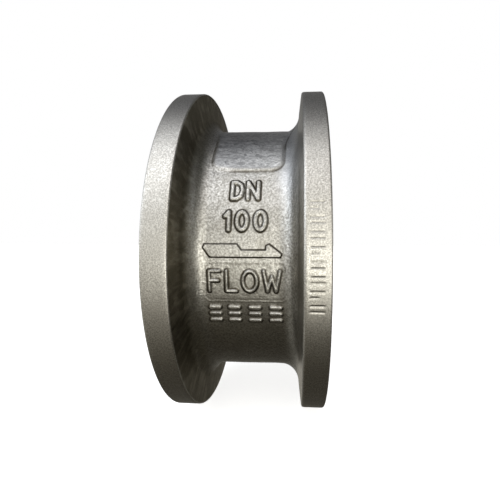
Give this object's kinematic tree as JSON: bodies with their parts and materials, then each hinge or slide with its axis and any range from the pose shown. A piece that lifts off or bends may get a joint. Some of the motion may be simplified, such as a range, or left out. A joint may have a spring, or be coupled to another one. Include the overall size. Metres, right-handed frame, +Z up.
{
  "type": "wafer check valve",
  "caption": "Spool-shaped wafer check valve body with two spring-loaded half-disc plates on an upright hinge pin, a stop pin, a rubber seat and plugged pin holes.",
  "frame": {"origin": "on the bore axis, half-way between the two gasket faces", "axes": "+X along the bore in the flow direction, inlet to outlet; +Z up, along the hinge pin"},
  "size_m": [0.073, 0.175, 0.175],
  "materials": {
    "cast_body": "blasted cast stainless steel, satin, with machined gasket faces",
    "plate": "cast stainless steel with a machined sealing face",
    "machined": "turned stainless steel",
    "spring_wire": "bright drawn spring wire",
    "bearing": "waxy white fluoropolymer",
    "gasket": "pale fluoropolymer ring",
    "seal": "black moulded elastomer"
  },
  "bodies": {
    "valve_body": {"body": "cast_body", "seat_seal": "seal", "hinge_pin": "machined", "stop_pin": "machined", "hinge_plug_upper": "machined", "hinge_plug_lower": "machined", "stop_plug_upper": "machined", "stop_plug_lower": "machined", "body_bearing_upper": "bearing", "body_bearing_lower": "bearing", "plate_bearing_upper": "bearing", "plate_bearing_lower": "bearing", "spring_bearing_upper": "bearing", "spring_bearing_middle": "bearing", "spring_bearing_lower": "bearing", "hinge_plug_gasket_upper": "gasket", "hinge_plug_gasket_lower": "gasket", "stop_plug_gasket_upper": "gasket", "stop_plug_gasket_lower": "gasket", "torsion_spring_upper": "spring_wire", "torsion_spring_lower": "spring_wire"},
    "front_plate": {"plate_front": "plate"},
    "rear_plate": {"plate_rear": "plate"}
  },
  "joints": [
    {"name": "rear_plate_hinge", "type": "hinge", "parent": "valve_body", "child": "rear_plate", "pos_m": [-0.0113, 0, 0], "axis": [0, 0, -1], "range_deg": [0, 82], "stiffness_Nm_per_rad": 0.1, "springref_deg": -34.38, "deforming": ["torsion_spring_upper", "torsion_spring_lower"]},
    {"name": "front_plate_hinge", "type": "hinge", "parent": "valve_body", "child": "front_plate", "pos_m": [-0.0113, 0, 0], "axis": [0, 0, 1], "range_deg": [0, 82], "stiffness_Nm_per_rad": 0.1, "springref_deg": -34.38, "deforming": ["torsion_spring_upper", "torsion_spring_lower"]}
  ]
}
